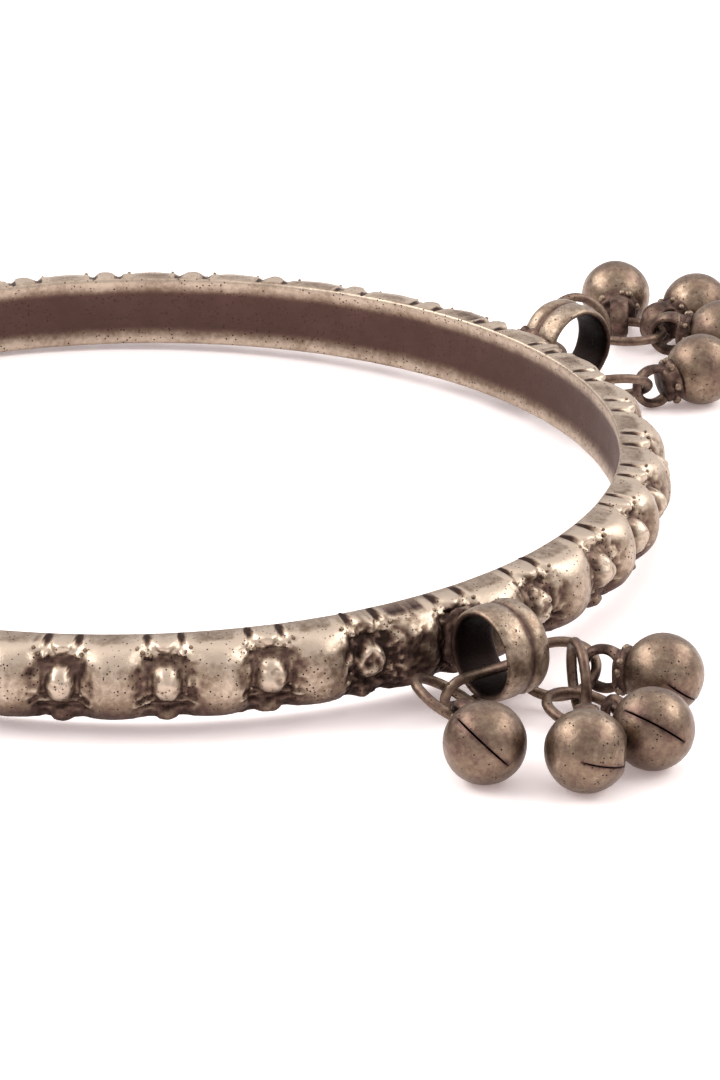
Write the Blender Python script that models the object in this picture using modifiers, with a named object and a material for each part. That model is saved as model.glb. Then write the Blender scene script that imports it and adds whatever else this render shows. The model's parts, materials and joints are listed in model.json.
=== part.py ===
"""A cast bell bracelet, lying as it rests on a table.

A closed metal bangle: barrel lobes with a beaded ornament between each two on the outside, a smooth
inner wall with a shallow channel. Two tube bails are soldered to it, and each carries a long link, four
jump rings and four small slit bells with a loose pellet inside. All lengths are in metres.
"""

import math

import bmesh
import bpy
from mathutils import Matrix, Vector

MM = 0.001

# The band
INNER_RADIUS = 31.75 * MM
BAND_HEIGHT = 4.92 * MM
BAND_THICKNESS = 3.4 * MM
CHANNEL_DEPTH = 0.25 * MM
LIP_ROUNDING = 0.12 * MM
MOTIF_COUNT = 34
FIRST_ORNAMENT_DEG = -84.4
HAND_SHIFT_DEG = 2.2
HAND_SHIFT_AT_DEG = -28.0
HAND_SHIFT_WIDTH_DEG = 14.0

# How the bracelet lies: propped up by the bails, down on the far side
TILT_DEG = 1.1
RAISED_TOWARDS_DEG = -10.0

# The tube bails
BAIL_RADIUS = 2.95 * MM
BAIL_WALL = 0.57 * MM
BAIL_LENGTH = 3.2 * MM
BAIL_GROOVE = 0.17 * MM
BAIL_SUNK = 0.45 * MM
BAIL_CENTRE_HEIGHT = 2.9 * MM
BAIL_SIDES = 20
BAIL_ANGLES_DEG = {"front": -52.0, "back": 39.0}

# The wire of rings and links
WIRE_RADIUS = 0.3 * MM
CLEARANCE = 0.12 * MM
RING_SEGMENTS = 14
WIRE_SIDES = 6
LOOP_SEGMENTS = 12

# The long link through a bail: how far its plane leans from straight down towards the band, where its end
# lies along the bail, and how far its two runs lie from the middle of the bail's wall
LINK_TURN_DEG = 20.0
LINK_END = 3.4 * MM
LINK_END_RADIUS = 1.1 * MM
LINK_END_STEPS = 6

# The bells
BELL_RADIUS = 2.48 * MM
BELL_WALL = 0.42 * MM
BELL_SIDES = 12
BELL_ROWS = 8
NECK_RADIUS = 0.95 * MM
LOOP_RADIUS = 1.28 * MM
LOOP_WIRE_RADIUS = 0.28 * MM
LOOP_CENTRE = 3.72 * MM
SLIT_WIDTH = 0.4 * MM
SLIT_HALF_ARC_DEG = 52.0
PELLET_RADIUS = 0.75 * MM

# Outline of the band's outer side: heights as shares of the band's height, then how far each kind of
# section stands out there, as shares of its thickness. The crest is the middle of an ornament.
OUTLINE = (
    # height, crest, pit, shoulder, lobe
    (0.00, 0.70, 0.36, 0.40, 0.44),
    (0.11, 0.93, 0.50, 0.66, 0.73),
    (0.25, 0.76, 0.57, 0.84, 0.90),
    (0.38, 0.93, 0.60, 0.91, 0.98),
    (0.52, 1.00, 0.62, 0.93, 1.00),
    (0.66, 0.90, 0.60, 0.89, 0.96),
    (0.76, 0.72, 0.50, 0.82, 0.89),
    (0.87, 0.88, 0.40, 0.68, 0.76),
    (1.00, 0.64, 0.30, 0.36, 0.40),
)
CREST, PIT, SHOULDER, LOBE = 1, 2, 3, 4

# Sections of one motif: where each lies, as a share of the motif from its ornament, and its column above
SECTIONS = (
    (-0.06, CREST),
    (0.06, CREST),
    (0.17, PIT),
    (0.27, SHOULDER),
    (0.5, LOBE),
    (0.73, SHOULDER),
    (0.83, PIT),
)

# The inner wall: heights as shares of the band's height, and whether the point lies in the channel
INNER_WALL = ((0.93, False), (0.74, True), (0.26, True), (0.07, False))

# The two clusters, as the bells and rings lie. Places are in millimetres from the point of the table under
# the middle of the bail: outwards from the band, along it anticlockwise, and up. A direction is an azimuth
# from outwards towards along, and an elevation, in degrees.
RING_RADIUS = {
    "front": {"bell": 2.5 * MM, "upper": 2.3 * MM, "middle": 2.2 * MM, "lower": 2.3 * MM},
    "back": {"bell": 2.5 * MM, "upper": 2.5 * MM, "middle": 2.5 * MM, "lower": 2.6 * MM},
}
RINGS = (
    # cluster, name, place of the middle, direction of the ring's axis
    ("front", "bell", (0.74, -4.25, 2.02), (62.5, 59.7)),
    ("front", "upper", (0.48, 4.24, 1.93), (-54.2, 67.8)),
    ("front", "middle", (3.32, 3.45, 2.53), (61.4, 3.0)),
    ("front", "lower", (6.27, 1.37, 2.05), (46.3, 77.8)),
    ("back", "bell", (0.77, -4.14, 1.83), (58.0, 55.7)),
    ("back", "upper", (0.48, 4.55, 1.96), (-59.8, 86.6)),
    ("back", "middle", (4.48, 3.96, 2.68), (75.4, -19.9)),
    ("back", "lower", (8.59, 3.17, 2.12), (51.2, 86.0)),
)
BELLS = (
    # cluster, number, place of the ball's middle, direction of the loop, direction of the slit's middle,
    # turn of the slit from level
    ("front", 1, (6.97, -6.85, 2.48), (158.3, -7.8), (-44.7, 25.1), 140.9),
    ("front", 2, (11.33, -2.80, 2.48), (140.0, -5.6), (3.8, -4.2), 165.2),
    ("front", 3, (11.27, 2.36, 2.48), (173.6, -13.9), (-38.6, 30.1), 153.1),
    ("front", 4, (5.70, 8.09, 2.48), (-147.6, -4.2), (8.1, -21.5), 148.8),
    ("back", 1, (7.04, -6.38, 2.48), (162.9, -12.6), (-45.2, 6.9), 20.0),
    ("back", 2, (15.45, 3.23, 2.48), (-177.4, -6.1), (-24.0, 0.0), 70.0),
    ("back", 3, (12.54, 8.72, 2.48), (-128.9, -7.1), (51.6, 2.0), 35.0),
    ("back", 4, (12.98, -2.12, 2.48), (127.8, -4.1), (-74.5, -2.0), 50.0),
)


def clear_scene():
    for item in list(bpy.data.objects):
        bpy.data.objects.remove(item, do_unlink=True)


def metal(name, colour, roughness):
    material = bpy.data.materials.new(name)
    material.use_nodes = True
    shader = material.node_tree.nodes["Principled BSDF"]
    shader.inputs["Base Color"].default_value = (*colour, 1.0)
    shader.inputs["Metallic"].default_value = 1.0
    shader.inputs["Roughness"].default_value = roughness
    return material


def direction(azimuth_deg, elevation_deg):
    azimuth = math.radians(azimuth_deg)
    elevation = math.radians(elevation_deg)
    flat = math.cos(elevation)
    return Vector((flat * math.cos(azimuth), flat * math.sin(azimuth), math.sin(elevation)))


def collection_named(name):
    collection = bpy.data.collections.new(name)
    bpy.context.scene.collection.children.link(collection)
    return collection


def object_from(mesh, name, collection):
    item = bpy.data.objects.new(name, mesh)
    collection.objects.link(item)
    return item


def last_made(name, collection):
    """The object that an operator has just added, named and moved into a collection."""
    item = bpy.context.object
    item.name = name
    for owner in list(item.users_collection):
        owner.objects.unlink(item)
    collection.objects.link(item)
    return item


def evaluated_mesh(item):
    """A plain mesh of an object with its modifiers applied, in the object's own frame."""
    depsgraph = bpy.context.evaluated_depsgraph_get()
    return bpy.data.meshes.new_from_object(item.evaluated_get(depsgraph))


def discard(*items):
    for item in items:
        bpy.data.objects.remove(item, do_unlink=True)


def combine(base, others, operation):
    """The base with each of the others joined to it or cut from it; the helpers are used up."""
    for other in others:
        modifier = base.modifiers.new(other.name, "BOOLEAN")
        modifier.operation = operation
        modifier.solver = "EXACT"
        modifier.object = other
    bpy.context.view_layer.update()
    mesh = evaluated_mesh(base)
    base.modifiers.clear()
    base.data = mesh
    discard(*others)
    return base


def shade(item, material):
    item.data.materials.clear()
    item.data.materials.append(material)
    item.data.shade_smooth()
    item.data.set_sharp_from_angle(angle=math.radians(40.0))


def motif_angle(position):
    """The angle round the band of a place counted in motifs. The motifs were set by hand, so they stray a
    little near the front bail."""
    even = FIRST_ORNAMENT_DEG + 360.0 * position / MOTIF_COUNT
    wrapped = (even + 180.0) % 360.0 - 180.0
    stray = HAND_SHIFT_DEG * math.exp(-(((wrapped - HAND_SHIFT_AT_DEG) / HAND_SHIFT_WIDTH_DEG) ** 2))
    return math.radians(even + stray)


def section_points(column):
    """One section of the band, as (distance from the axis, height) pairs, anticlockwise."""
    outer = [(INNER_RADIUS + row[column] * BAND_THICKNESS, row[0] * BAND_HEIGHT) for row in OUTLINE]
    inner = [
        (INNER_RADIUS + (CHANNEL_DEPTH if in_channel else 0.0), height * BAND_HEIGHT)
        for height, in_channel in INNER_WALL
    ]
    land = INNER_RADIUS + LIP_ROUNDING
    return [(land, 0.0), *outer, (land, BAND_HEIGHT), *inner]


def band_mesh():
    """The closed band: a loft through the sections of every motif."""
    mesh = bpy.data.meshes.new("band")
    shape = bmesh.new()
    rows = []
    for motif in range(MOTIF_COUNT):
        for place, column in SECTIONS:
            angle = motif_angle(motif + place)
            rows.append([
                shape.verts.new((radius * math.cos(angle), radius * math.sin(angle), height))
                for radius, height in section_points(column)
            ])
    for row, following in zip(rows, rows[1:] + rows[:1]):
        for index in range(len(row)):
            onward = (index + 1) % len(row)
            shape.faces.new((row[index], following[index], following[onward], row[onward]))
    bmesh.ops.recalc_face_normals(shape, faces=shape.faces)
    shape.to_mesh(mesh)
    shape.free()
    return mesh


def bail_profile():
    """The bail's wall, as (radius, place along its axis) pairs: two rounded bands with a groove between."""
    half = BAIL_LENGTH / 2
    bore = BAIL_RADIUS - BAIL_WALL
    swell = [
        (BAIL_RADIUS - 0.23 * MM, half),
        (BAIL_RADIUS - 0.02 * MM, 0.78 * half),
        (BAIL_RADIUS, 0.42 * half),
        (BAIL_RADIUS - BAIL_GROOVE, 0.0),
    ]
    mirrored = [(radius, -along) for radius, along in reversed(swell[:-1])]
    return [(bore, half), *swell, *mirrored, (bore, -half)]


def bail(name, angle_deg, helpers):
    """One tube bail in the band's frame, its axis along the band."""
    mesh = bpy.data.meshes.new(name)
    shape = bmesh.new()
    corners = [shape.verts.new((radius, 0.0, along)) for radius, along in bail_profile()]
    for corner, following in zip(corners, corners[1:] + corners[:1]):
        shape.edges.new((corner, following))
    shape.to_mesh(mesh)
    shape.free()
    tube = object_from(mesh, name, helpers)
    turned = tube.modifiers.new("Turn", "SCREW")
    turned.angle = math.radians(360.0)
    turned.steps = BAIL_SIDES
    turned.render_steps = BAIL_SIDES
    turned.use_merge_vertices = True
    turned.merge_threshold = 0.0001
    bpy.context.view_layer.update()
    tube.data = evaluated_mesh(tube)
    tube.modifiers.clear()
    closed = bmesh.new()
    closed.from_mesh(tube.data)
    bmesh.ops.remove_doubles(closed, verts=closed.verts, dist=1e-6)
    bmesh.ops.recalc_face_normals(closed, faces=closed.faces)
    closed.to_mesh(tube.data)
    closed.free()
    angle = math.radians(angle_deg)
    centre = INNER_RADIUS + BAND_THICKNESS + BAIL_RADIUS - BAIL_SUNK
    tube.matrix_world = (
        Matrix.Rotation(angle, 4, "Z")
        @ Matrix.Translation((centre, 0.0, BAIL_CENTRE_HEIGHT))
        @ Matrix.Rotation(math.radians(-90.0), 4, "X")
    )
    return tube


def solder(name, angle_deg, helpers):
    """The lump of solder between a bail and the band."""
    bpy.ops.mesh.primitive_uv_sphere_add(segments=12, ring_count=8, radius=1.0)
    lump = last_made(name, helpers)
    angle = math.radians(angle_deg)
    reach = INNER_RADIUS + BAND_THICKNESS - 0.1 * MM
    lump.matrix_world = (
        Matrix.Rotation(angle, 4, "Z")
        @ Matrix.Translation((reach, 0.0, 0.55 * BAND_HEIGHT))
        @ Matrix.Diagonal((0.9 * MM, 0.4 * BAIL_LENGTH, 0.32 * BAND_HEIGHT, 1.0))
    )
    return lump


def tilt_matrix():
    """The band's own frame, whose bottom lies at height 0, seen from the table."""
    axis = Vector((math.sin(math.radians(RAISED_TOWARDS_DEG)), -math.cos(math.radians(RAISED_TOWARDS_DEG)), 0.0))
    foot = INNER_RADIUS + OUTLINE[0][CREST] * BAND_THICKNESS
    lift = foot * math.sin(math.radians(TILT_DEG))
    return Matrix.Translation((0.0, 0.0, lift)) @ Matrix.Rotation(math.radians(TILT_DEG), 4, axis)


def bail_centre(cluster):
    """The middle of a bail, in the table's frame."""
    reach = INNER_RADIUS + BAND_THICKNESS + BAIL_RADIUS - BAIL_SUNK
    angle = math.radians(BAIL_ANGLES_DEG[cluster])
    return tilt_matrix() @ Vector((reach * math.cos(angle), reach * math.sin(angle), BAIL_CENTRE_HEIGHT))


def cluster_frame(cluster):
    """A cluster's frame: outwards, along the band anticlockwise, up, from under the middle of its bail."""
    centre = bail_centre(cluster)
    angle = math.radians(BAIL_ANGLES_DEG[cluster])
    return Matrix.Translation((centre.x, centre.y, 0.0)) @ Matrix.Rotation(angle, 4, "Z")


def axes_matrix(place, up, side):
    """A frame at a place with its Z along up and its Y as near to side as that allows."""
    z = up.normalized()
    y = (side - side.dot(z) * z).normalized()
    x = y.cross(z)
    return Matrix((
        (x.x, y.x, z.x, place.x),
        (x.y, y.y, z.y, place.y),
        (x.z, y.z, z.z, place.z),
        (0.0, 0.0, 0.0, 1.0),
    ))


def make_bangle(collection, helpers, material):
    band = object_from(band_mesh(), "bangle", collection)
    for cluster, angle_deg in BAIL_ANGLES_DEG.items():
        tube = bail("bail_" + cluster, angle_deg, helpers)
        lump = solder("solder_" + cluster, angle_deg, helpers)
        combine(lump, [bore_cutter(angle_deg, helpers)], "DIFFERENCE")
        combine(band, [tube], "UNION")
        combine(band, [lump], "UNION")
    band.matrix_world = tilt_matrix()
    shade(band, material)
    return band


def bore_cutter(angle_deg, helpers):
    """What keeps the solder out of a bail's bore."""
    bore = BAIL_RADIUS - 0.5 * BAIL_WALL
    bpy.ops.mesh.primitive_cylinder_add(vertices=BAIL_SIDES, radius=bore, depth=2 * BAIL_LENGTH)
    cutter = last_made("bore", helpers)
    cutter.matrix_world = (
        Matrix.Rotation(math.radians(angle_deg), 4, "Z")
        @ Matrix.Translation((INNER_RADIUS + BAND_THICKNESS + BAIL_RADIUS - BAIL_SUNK, 0.0, BAIL_CENTRE_HEIGHT))
        @ Matrix.Rotation(math.radians(-90.0), 4, "X")
    )
    return cutter


def make_ring(name, cluster, radius, place, axis, collection, material):
    bpy.ops.mesh.primitive_torus_add(
        major_segments=RING_SEGMENTS,
        minor_segments=WIRE_SIDES,
        major_radius=radius,
        minor_radius=WIRE_RADIUS,
    )
    ring = last_made(name, collection)
    local = axes_matrix(Vector(place) * MM, axis, Vector((0.0, 0.0, 1.0)))
    ring.matrix_world = cluster_frame(cluster) @ local
    shade(ring, material)
    return ring


def link_path():
    """The centre line of the long link through a bail, in a cluster's frame above the bail's own centre.

    It is a stadium round the wall of the tube: one straight run in the bore, the other outside it."""
    turn = math.radians(LINK_TURN_DEG)
    outwards = Vector((-math.sin(turn), 0.0, -math.cos(turn)))
    along = Vector((0.0, 1.0, 0.0))
    half = LINK_END - LINK_END_RADIUS
    middle = (BAIL_RADIUS - BAIL_WALL / 2) * outwards
    points = []
    for side in (1.0, -1.0):
        for step in range(LINK_END_STEPS + 1):
            angle = math.pi * (step / LINK_END_STEPS - 0.5)
            points.append(
                middle
                + side * (half + LINK_END_RADIUS * math.cos(angle)) * along
                + side * LINK_END_RADIUS * math.sin(angle) * outwards
            )
    return points


def make_link(name, cluster, collection, material):
    curve = bpy.data.curves.new(name, "CURVE")
    curve.dimensions = "3D"
    curve.bevel_depth = WIRE_RADIUS
    curve.bevel_resolution = 1
    path = link_path()
    spline = curve.splines.new("POLY")
    spline.points.add(len(path) - 1)
    for point, place in zip(spline.points, path):
        point.co = (*place, 1.0)
    spline.use_cyclic_u = True
    wire = object_from(curve, name + "_wire", collection)
    bpy.context.view_layer.update()
    link = object_from(evaluated_mesh(wire), name, collection)
    discard(wire)
    height = Matrix.Translation((0.0, 0.0, bail_centre(cluster).z))
    link.matrix_world = cluster_frame(cluster) @ height
    shade(link, material)
    return link


def ball(name, radius, collection):
    bpy.ops.mesh.primitive_uv_sphere_add(segments=BELL_SIDES, ring_count=BELL_ROWS, radius=radius)
    return last_made(name, collection)


def slit_frame(middle, turn_deg):
    """A frame with its Z through the middle of a bell's slit and its X along it, in the cluster's frame."""
    out = direction(*middle)
    level = out.cross(Vector((0.0, 0.0, 1.0)))
    along = Matrix.Rotation(math.radians(turn_deg), 3, out) @ level
    return axes_matrix(Vector(), out, out.cross(along))


def bell_body(name, slit_place, collection, helpers):
    """One bell in its own frame: the ball's centre at the origin, the loop up along Z and round the Y axis."""
    body = ball(name, BELL_RADIUS, collection)
    neck_top = LOOP_CENTRE - LOOP_RADIUS + 0.5 * LOOP_WIRE_RADIUS
    neck_foot = BELL_RADIUS - 0.6 * BELL_WALL
    bpy.ops.mesh.primitive_cone_add(
        vertices=WIRE_SIDES,
        radius1=NECK_RADIUS,
        radius2=0.6 * NECK_RADIUS,
        depth=neck_top - neck_foot,
        location=(0.0, 0.0, (neck_top + neck_foot) / 2),
    )
    neck = last_made("neck", helpers)
    bpy.ops.mesh.primitive_torus_add(
        major_segments=LOOP_SEGMENTS,
        minor_segments=WIRE_SIDES,
        major_radius=LOOP_RADIUS,
        minor_radius=LOOP_WIRE_RADIUS,
        location=(0.0, 0.0, LOOP_CENTRE),
        rotation=(math.radians(90.0), 0.0, 0.0),
    )
    loop = last_made("loop", helpers)
    combine(body, [neck], "UNION")
    combine(body, [loop], "UNION")
    hollow = ball("hollow", BELL_RADIUS - BELL_WALL, helpers)
    start = math.cos(math.radians(SLIT_HALF_ARC_DEG)) * BELL_RADIUS
    bpy.ops.mesh.primitive_cube_add(size=1.0)
    slit = last_made("slit", helpers)
    slit.matrix_world = (
        slit_place
        @ Matrix.Translation((0.0, 0.0, start + BELL_RADIUS))
        @ Matrix.Diagonal((3 * BELL_RADIUS, SLIT_WIDTH, 2 * BELL_RADIUS, 1.0))
    )
    combine(body, [hollow], "DIFFERENCE")
    combine(body, [slit], "DIFFERENCE")
    return body


def make_bell(cluster, number, place, loop_direction, slit_middle, slit_turn_deg, collection, helpers, material):
    up = direction(*loop_direction)
    lying = axes_matrix(Vector(place) * MM, up, up.cross(Vector((0.0, 0.0, 1.0))))
    slit_place = lying.to_3x3().inverted().to_4x4() @ slit_frame(slit_middle, slit_turn_deg)
    body = bell_body(f"bell_{cluster}_{number}", slit_place, collection, helpers)
    frame = cluster_frame(cluster) @ lying
    body.matrix_world = frame
    shade(body, material)
    return frame


def make_pellet(cluster, number, bell_frame, collection, material):
    """The loose ball in a bell, lying on the lowest part of the hollow."""
    bpy.ops.mesh.primitive_uv_sphere_add(segments=8, ring_count=6, radius=PELLET_RADIUS)
    pellet = last_made(f"pellet_{cluster}_{number}", collection)
    drop = BELL_RADIUS - BELL_WALL - PELLET_RADIUS - CLEARANCE
    pellet.matrix_world = Matrix.Translation(bell_frame.translation - Vector((0.0, 0.0, drop)))
    shade(pellet, material)


def stand_on_origin(items):
    """Puts the middle of the whole box's bottom on the origin."""
    bpy.context.view_layer.update()
    corners = [item.matrix_world @ vertex.co for item in items for vertex in item.data.vertices]
    low = Vector([min(corner[axis] for corner in corners) for axis in range(3)])
    high = Vector([max(corner[axis] for corner in corners) for axis in range(3)])
    shift = Matrix.Translation((-(low.x + high.x) / 2, -(low.y + high.y) / 2, -low.z))
    for item in items:
        item.matrix_world = shift @ item.matrix_world


def main():
    clear_scene()
    bracelet = collection_named("bell_bracelet")
    helpers = collection_named("cutters")
    band_metal = metal("band_metal", (0.36, 0.27, 0.21), 0.38)
    ring_metal = metal("ring_metal", (0.30, 0.23, 0.18), 0.42)
    bell_metal = metal("bell_metal", (0.38, 0.29, 0.22), 0.34)
    pellet_metal = metal("pellet_metal", (0.25, 0.24, 0.23), 0.5)
    make_bangle(bracelet, helpers, band_metal)
    for cluster in BAIL_ANGLES_DEG:
        make_link(f"link_{cluster}", cluster, bracelet, ring_metal)
    for cluster, name, place, axis in RINGS:
        radius = RING_RADIUS[cluster][name]
        make_ring(f"ring_{cluster}_{name}", cluster, radius, place, direction(*axis), bracelet, ring_metal)
    for cluster, number, place, loop_direction, slit_middle, slit_turn_deg in BELLS:
        frame = make_bell(
            cluster, number, place, loop_direction, slit_middle, slit_turn_deg, bracelet, helpers, bell_metal
        )
        make_pellet(cluster, number, frame, bracelet, pellet_metal)
    stand_on_origin(list(bracelet.objects))


main()
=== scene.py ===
# %% [markdown]
# # A cast bell bracelet on a white table
#
# The real object is a closed bangle, cast in one piece in a brass-like metal that has darkened with age.
# Round barrel lobes alternate with small beaded ornaments. Two short tubes are soldered on, and from each a
# cluster of little slit bells hangs on wire rings. The measured solids give every place and size; this
# lesson makes the fine surface over them: the relief, the worn metal, the camera and the light.

# %% Load the measured frame
import json
import math

import bmesh
import bpy
import numpy as np
from mathutils import Matrix, Vector


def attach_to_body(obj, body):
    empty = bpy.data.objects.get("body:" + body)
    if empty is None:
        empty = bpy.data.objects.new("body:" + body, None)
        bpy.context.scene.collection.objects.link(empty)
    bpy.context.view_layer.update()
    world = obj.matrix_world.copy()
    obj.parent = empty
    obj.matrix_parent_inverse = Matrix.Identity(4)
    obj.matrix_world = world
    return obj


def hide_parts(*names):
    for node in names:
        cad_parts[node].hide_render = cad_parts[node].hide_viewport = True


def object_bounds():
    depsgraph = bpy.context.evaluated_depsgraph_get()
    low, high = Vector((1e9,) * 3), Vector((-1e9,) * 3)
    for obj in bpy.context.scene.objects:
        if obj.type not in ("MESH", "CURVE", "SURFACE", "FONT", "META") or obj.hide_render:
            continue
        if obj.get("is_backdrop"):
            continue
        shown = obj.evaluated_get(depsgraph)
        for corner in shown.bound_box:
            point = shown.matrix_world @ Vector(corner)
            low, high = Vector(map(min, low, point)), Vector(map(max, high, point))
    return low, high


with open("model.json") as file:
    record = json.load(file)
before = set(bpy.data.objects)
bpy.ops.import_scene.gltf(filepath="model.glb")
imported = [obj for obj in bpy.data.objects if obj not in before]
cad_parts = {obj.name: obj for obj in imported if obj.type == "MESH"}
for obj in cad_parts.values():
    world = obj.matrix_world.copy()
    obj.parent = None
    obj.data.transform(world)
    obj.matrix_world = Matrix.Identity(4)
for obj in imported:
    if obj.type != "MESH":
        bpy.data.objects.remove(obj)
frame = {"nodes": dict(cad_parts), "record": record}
cad_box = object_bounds()
record = frame["record"]
MM = 0.001


def added(name, data):
    """A new object in the scene."""
    item = bpy.data.objects.new(name, data)
    bpy.context.scene.collection.objects.link(item)
    return item


print("nodes:", len(frame["nodes"]))

# %% [markdown]
# ## Where the band lies
#
# The bangle is propped up a little by its two tubes, so its own plane leans by about one degree. The wrist
# opening's box gives the middle of the band, and the flat underside gives its height; the lean is given as an
# angle and a direction. All the band's points are worked out in the band's own frame and then placed with
# this one matrix.

# %% The band's frame
INNER_RADIUS = 31.75 * MM
BAND_HEIGHT = 4.92 * MM
BAND_THICKNESS = 3.4 * MM
MOTIF_COUNT = 34
FIRST_ORNAMENT_DEG = -84.4
HAND_SHIFT_DEG = 2.2
HAND_SHIFT_AT_DEG = -28.0
HAND_SHIFT_WIDTH_DEG = 14.0
TILT_DEG = 1.1
RAISED_TOWARDS_DEG = -10.0
FOOT_SHARE = 0.70

opening_low, opening_high = (Vector(corner) for corner in record["physics"]["openings"][0]["box_m"])
underside = record["mounts"][0]
band_up = -Vector(underside["axis"]).normalized()
middle = (opening_low + opening_high) / 2
middle -= band_up * (BAND_HEIGHT / 2)
foot = Vector(underside["pos_m"])
level_x = foot.x - middle.x
level_y = foot.y - middle.y
middle.z = foot.z + (band_up.x * level_x + band_up.y * level_y) / band_up.z
raised = math.radians(RAISED_TOWARDS_DEG)
tilt_axis = Vector((math.sin(raised), -math.cos(raised), 0.0))
BAND_FRAME = Matrix.Translation(middle) @ Matrix.Rotation(math.radians(TILT_DEG), 4, tilt_axis)
lift = (INNER_RADIUS + FOOT_SHARE * BAND_THICKNESS) * math.sin(math.radians(TILT_DEG))
TABLE_HEIGHT = middle.z - lift
print("band at", [round(value / MM, 2) for value in middle], "table at", round(TABLE_HEIGHT / MM, 3))

# %% [markdown]
# ## The camera
#
# The photograph was taken with a long lens, 22.6 degrees above the table and turned a little to one side.
# The camera's place is given from the middle of the band, as it was worked out from the ring's outline.

# %% Camera
CAMERA_FROM_BAND = Vector((12.531, -295.624, 121.625)) * MM
CAMERA_PITCH_DEG = 22.571
CAMERA_YAW_DEG = 0.4485
CAMERA_ROLL_DEG = 1.083
LENS_MM = 161.96

camera_data = bpy.data.cameras.new("camera")
camera_data.lens = LENS_MM
camera_data.sensor_width = 36.0
camera_data.clip_start = 0.01
camera = added("camera", camera_data)
camera.matrix_world = (
    Matrix.Translation(Vector((middle.x, middle.y, TABLE_HEIGHT)) + CAMERA_FROM_BAND)
    @ Matrix.Rotation(math.radians(-CAMERA_YAW_DEG), 4, "Z")
    @ Matrix.Rotation(math.radians(90.0 - CAMERA_PITCH_DEG), 4, "X")
    @ Matrix.Rotation(math.radians(CAMERA_ROLL_DEG), 4, "Z")
)
bpy.context.scene.camera = camera

# %% [markdown]
# ## Helpers for surfaces
#
# Most pieces here are sheets of points in rows: a row for each step along the piece, and a column for each
# step round it. One helper turns such a grid into a mesh. Castings are never quite smooth, so another
# helper gives a soft random value for any point in space, the same on every run.

# %% Grid to mesh
def grid_faces(rows, columns, rows_close, columns_close):
    """Corner numbers of the quads of a grid, as an array of four columns."""
    row = np.arange(rows if rows_close else rows - 1)
    column = np.arange(columns if columns_close else columns - 1)
    row, column = np.meshgrid(row, column, indexing="ij")
    below = (row + 1) % rows
    beside = (column + 1) % columns
    corners = ((row, column), (below, column), (below, beside), (row, beside))
    return np.stack([(at_row * columns + at_column).ravel() for at_row, at_column in corners], axis=1)


def round_steps(count):
    """Even steps round a full turn, in radians."""
    return np.linspace(0.0, 2 * math.pi, count, endpoint=False)


def ring_points(radius, angle, height):
    """Points about an axis. The three spread over one grid."""
    radius, angle, height = np.broadcast_arrays(radius, angle, height)
    return np.stack([radius * np.cos(angle), radius * np.sin(angle), height], -1)


def ball_points(steps_round, steps_down):
    """A ball of radius 1 as a grid, with a pole at the first and the last column."""
    polar = np.linspace(0.0, math.pi, steps_down)
    return ring_points(np.sin(polar), round_steps(steps_round)[:, None], np.cos(polar))


def mesh_from(name, points, faces):
    mesh = bpy.data.meshes.new(name)
    if isinstance(faces, np.ndarray):
        faces = faces.tolist()
    mesh.from_pydata(points.reshape(-1, 3).tolist(), [], faces)
    mesh.shade_smooth()
    mesh.update()
    return mesh


def placed(points, matrix):
    """The points of a grid after a matrix."""
    turn = np.array(matrix.to_3x3())
    return points @ turn.T + np.array(matrix.translation)


def attach(mesh, name, values):
    """Stores one number for each point of a mesh, for a material to read."""
    attribute = mesh.attributes.new(name, "FLOAT", "POINT")
    attribute.data.foreach_set("value", np.asarray(values, dtype=np.float32).ravel())


# %% Soft random values
MIXERS = (374761393, 668265263, 2147483647)
STIRRER = 1274126177
SAME_SIGN = 0x7FFFFFFF
FINEST = 0xFFFFF


def lattice(cell, seed):
    """A fixed random value between 0 and 1 for each cell of whole numbers."""
    mixed = cell[..., 0] * MIXERS[0] + cell[..., 1] * MIXERS[1] + cell[..., 2] * MIXERS[2] + seed * STIRRER
    mixed = (mixed ^ (mixed >> 13)) * STIRRER & SAME_SIGN
    mixed = mixed ^ (mixed >> 16)
    return (mixed & FINEST) / float(FINEST)


def roughcast(points, grain, seed):
    """Soft noise between -1 and 1, with lumps about one grain wide."""
    scaled = points / grain + 1000.0
    cell = np.floor(scaled).astype(np.int64)
    part = scaled - cell
    part = part * part * (3 - 2 * part)
    total = 0.0
    for corner in range(8):
        step = np.array([corner & 1, corner >> 1 & 1, corner >> 2 & 1])
        weight = np.prod(np.where(step, part, 1 - part), axis=-1)
        total = total + weight * lattice(cell + step, seed)
    return 2 * total - 1


# %% Ramps and stripes
def ramp(value, start, end):
    """0 up to the start, 1 from the end on, and even between them."""
    return np.clip((value - start) / (end - start), 0.0, 1.0)


def stripe(value, middle_value, half_width):
    """1 in the middle of a soft stripe, 0 away from it."""
    return np.exp(-(((value - middle_value) / half_width) ** 2))


# %% [markdown]
# ## The relief of the band
#
# Seen from outside, each ornament is a small tower: a rounded bead hangs from the top edge between two deep
# pits, under it a dark slot runs across, then comes an egg-shaped dome with a rough wing on either side, a
# thin wavy ridge, and a nub at the foot. The relief is one function that gives how far the metal stands out
# at any place. Domes are added with a soft maximum, as wax melts together before casting.

# %% Where the motifs lie
PITCH_MM = 6.5


def motif_angle(position):
    """The angle of a place counted in motifs, with the stray of the hand near the front tube."""
    even = FIRST_ORNAMENT_DEG + 360.0 * position / MOTIF_COUNT
    wrapped = (even + 180.0) % 360.0 - 180.0
    return np.radians(even + HAND_SHIFT_DEG * stripe(wrapped, HAND_SHIFT_AT_DEG, HAND_SHIFT_WIDTH_DEG))


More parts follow.
